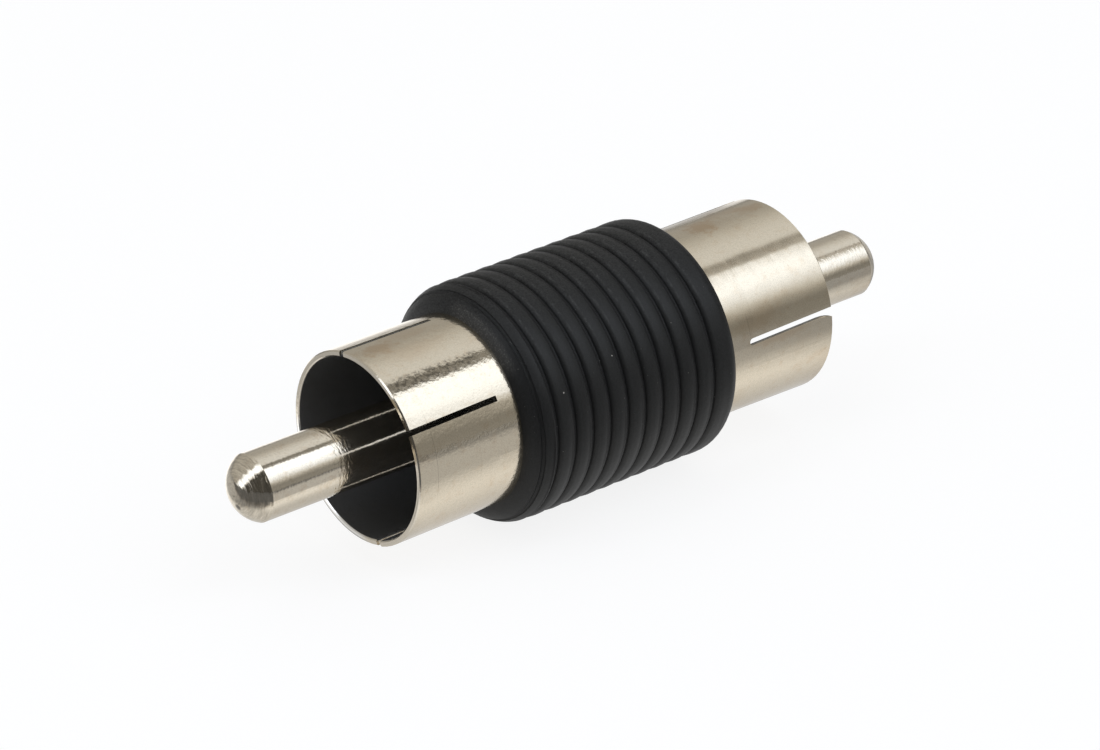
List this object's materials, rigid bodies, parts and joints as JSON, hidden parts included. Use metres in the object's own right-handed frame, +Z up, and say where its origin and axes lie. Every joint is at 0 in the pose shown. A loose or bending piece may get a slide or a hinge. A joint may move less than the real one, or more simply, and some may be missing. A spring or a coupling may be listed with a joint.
{
  "type": "rca coupler",
  "caption": "Inline audio coupler: male phono plugs back to back in a ribbed black grip, each a domed contact pin inside a slotted ground sleeve.",
  "frame": {"origin": "on the axis, halfway between the tips of the two contact pins", "axes": "+X along the axis toward the right plug, +Z up, +Y across"},
  "size_m": [0.037, 0.0113, 0.0112],
  "materials": {
    "grip_plastic": "moulded matte charcoal",
    "insulator_plastic": "moulded black",
    "sleeve_nickel": "satin nickel plate on brass, tarnished",
    "pin_nickel": "turned, nickel plate on brass",
    "core_brass": "bare, as turned"
  },
  "bodies": {
    "root": {"grip": "grip_plastic", "ground_tube": "core_brass", "left_sleeve": "sleeve_nickel", "right_sleeve": "sleeve_nickel", "left_insulator": "insulator_plastic", "right_insulator": "insulator_plastic", "left_pin": "pin_nickel", "right_pin": "pin_nickel", "pin_joiner": "core_brass"}
  },
  "joints": []
}
